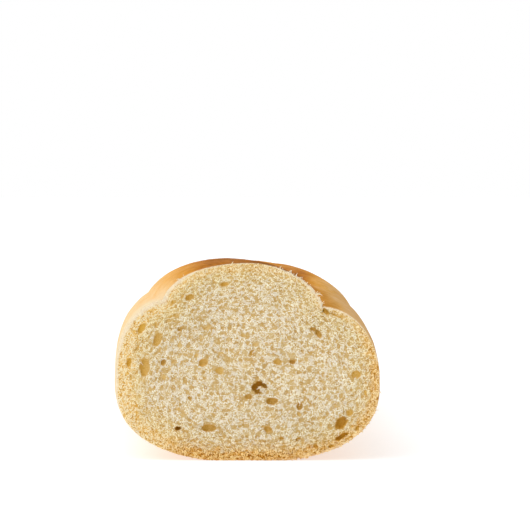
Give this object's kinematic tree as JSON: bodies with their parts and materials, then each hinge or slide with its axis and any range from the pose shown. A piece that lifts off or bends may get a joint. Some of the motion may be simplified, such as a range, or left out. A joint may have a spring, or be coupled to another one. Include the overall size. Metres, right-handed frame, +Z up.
{
  "type": "half baguette",
  "caption": "Half of a soft white baguette, sawn across, with a slashed golden crust and a fine open crumb.",
  "frame": {"origin": "middle of the loaf's box, on the surface that it stands on", "axes": "+Y along the loaf from the cut face to the baked tip, +Z up through the slashed top, +X to the right of someone looking at the cut face"},
  "size_m": [0.0754, 0.26, 0.0548],
  "materials": {
    "crust": "satin golden-brown baked crust, paler where the slashes opened",
    "crumb": "matt ivory crumb with honey-tan cells"
  },
  "bodies": {
    "root": {"loaf": "crust"}
  },
  "joints": []
}
